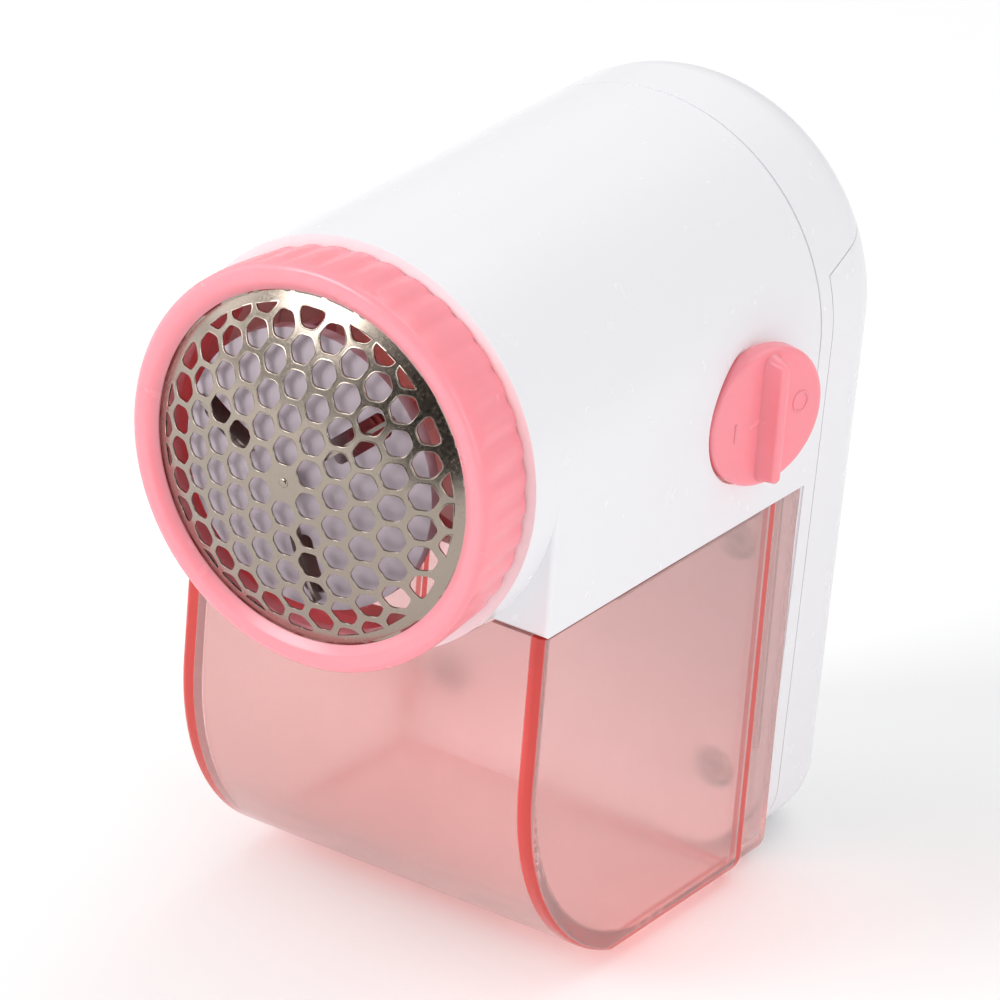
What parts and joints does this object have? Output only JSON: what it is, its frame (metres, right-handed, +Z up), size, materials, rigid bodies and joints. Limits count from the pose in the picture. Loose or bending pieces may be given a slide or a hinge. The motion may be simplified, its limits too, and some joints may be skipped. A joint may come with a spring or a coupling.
{
  "type": "fabric shaver",
  "caption": "Battery fabric shaver: round head with a perforated domed foil, spinning blades, clear lint collector, side switch dial and battery handle.",
  "frame": {"origin": "centre of the flat base under the battery handle, on the plane that the shaver stands on, in line with the barrel", "axes": "+Z up, the cutting head faces -Y, the switch dial is on the +X side and the battery door is at the back towards +Y"},
  "size_m": [0.0577, 0.0939, 0.0982],
  "materials": {
    "white_shell": "glossy white ABS",
    "pink_clear": "transparent pink polystyrene",
    "pink": "glossy coral pink ABS, slightly translucent",
    "foil_steel": "perforated stainless steel, fine brushing",
    "blade_steel": "ground steel",
    "lilac_plastic": "pale lilac plastic",
    "inner_plastic": "natural white plastic",
    "spring_steel": "nickel plated steel",
    "motor_steel": "zinc plated steel",
    "brass": "bare brass and sintered bronze",
    "magnet": "ferrite",
    "armature": "laminated iron with copper windings",
    "inner_dark": "black plastic",
    "cell_jacket": "plain printed jacket",
    "wire_black": "black insulation",
    "wire_white": "white insulation",
    "wire_red": "red insulation"
  },
  "bodies": {
    "housing": {"front_shell": "white_shell", "rear_shell": "white_shell", "motor_can": "motor_steel", "motor_bushes": "brass", "motor_magnets": "magnet", "motor_end_cap": "inner_dark", "motor_terminals": "brass", "motor_carrier": "inner_plastic", "carrier_screws": "spring_steel", "motor_screws": "spring_steel", "case_screws": "spring_steel", "switch_block": "inner_dark", "switch_leaf_moving": "brass", "switch_leaf_fixed": "brass", "battery_left": "cell_jacket", "battery_right": "cell_jacket", "contact_bridge": "spring_steel", "contact_positive": "spring_steel", "contact_negative": "spring_steel", "battery_springs": "spring_steel", "wire_negative": "wire_black", "wire_motor": "wire_white", "wire_positive": "wire_red"},
    "head": {"foil": "foil_steel", "foil_frame": "pink"},
    "guard_ring": {"guard_ring": "pink"},
    "rotor": {"motor_shaft": "blade_steel", "motor_armature": "armature", "drive_hub": "inner_plastic", "pressure_spring": "spring_steel"},
    "cutter": {"blade_carrier": "lilac_plastic", "cutter_blades": "blade_steel"},
    "dial": {"dial_knob": "pink", "switch_cam": "inner_plastic"},
    "battery_door": {"battery_door": "white_shell"},
    "collector": {"lint_collector": "pink_clear"}
  },
  "joints": [
    {"name": "head_lift", "type": "slide", "parent": "housing", "child": "head", "axis": [0, -1, 0], "range_m": [0, 0.0061]},
    {"name": "ring_turn", "type": "hinge", "parent": "head", "child": "guard_ring", "pos_m": [0, -0.075, 0.072], "axis": [0, -1, 0], "range_deg": [0, 240]},
    {"name": "rotor_spin", "type": "hinge", "parent": "housing", "child": "rotor", "pos_m": [0, -0.075, 0.072], "axis": [0, -1, 0], "continuous": true},
    {"name": "cutter_float", "type": "slide", "parent": "rotor", "child": "cutter", "axis": [0, 1, 0], "range_m": [0, 0.001], "stiffness_N_per_m": 300, "springref_m": -0.004, "deforming": ["pressure_spring"]},
    {"name": "dial_turn", "type": "hinge", "parent": "housing", "child": "dial", "pos_m": [0.0287, -0.0193, 0.0684], "axis": [0.9659, -0.2588, 0], "range_deg": [0, 90]},
    {"name": "door_slide", "type": "slide", "parent": "housing", "child": "battery_door", "axis": [0, 0, -1], "range_m": [0, 0.088]},
    {"name": "collector_slide", "type": "slide", "parent": "housing", "child": "collector", "axis": [0, 0, -1], "range_m": [0, 0.058]}
  ],
  "couplings": [
    {"joint": "head_lift", "follows": "ring_turn", "m_per_rad": 0.0014324}
  ]
}
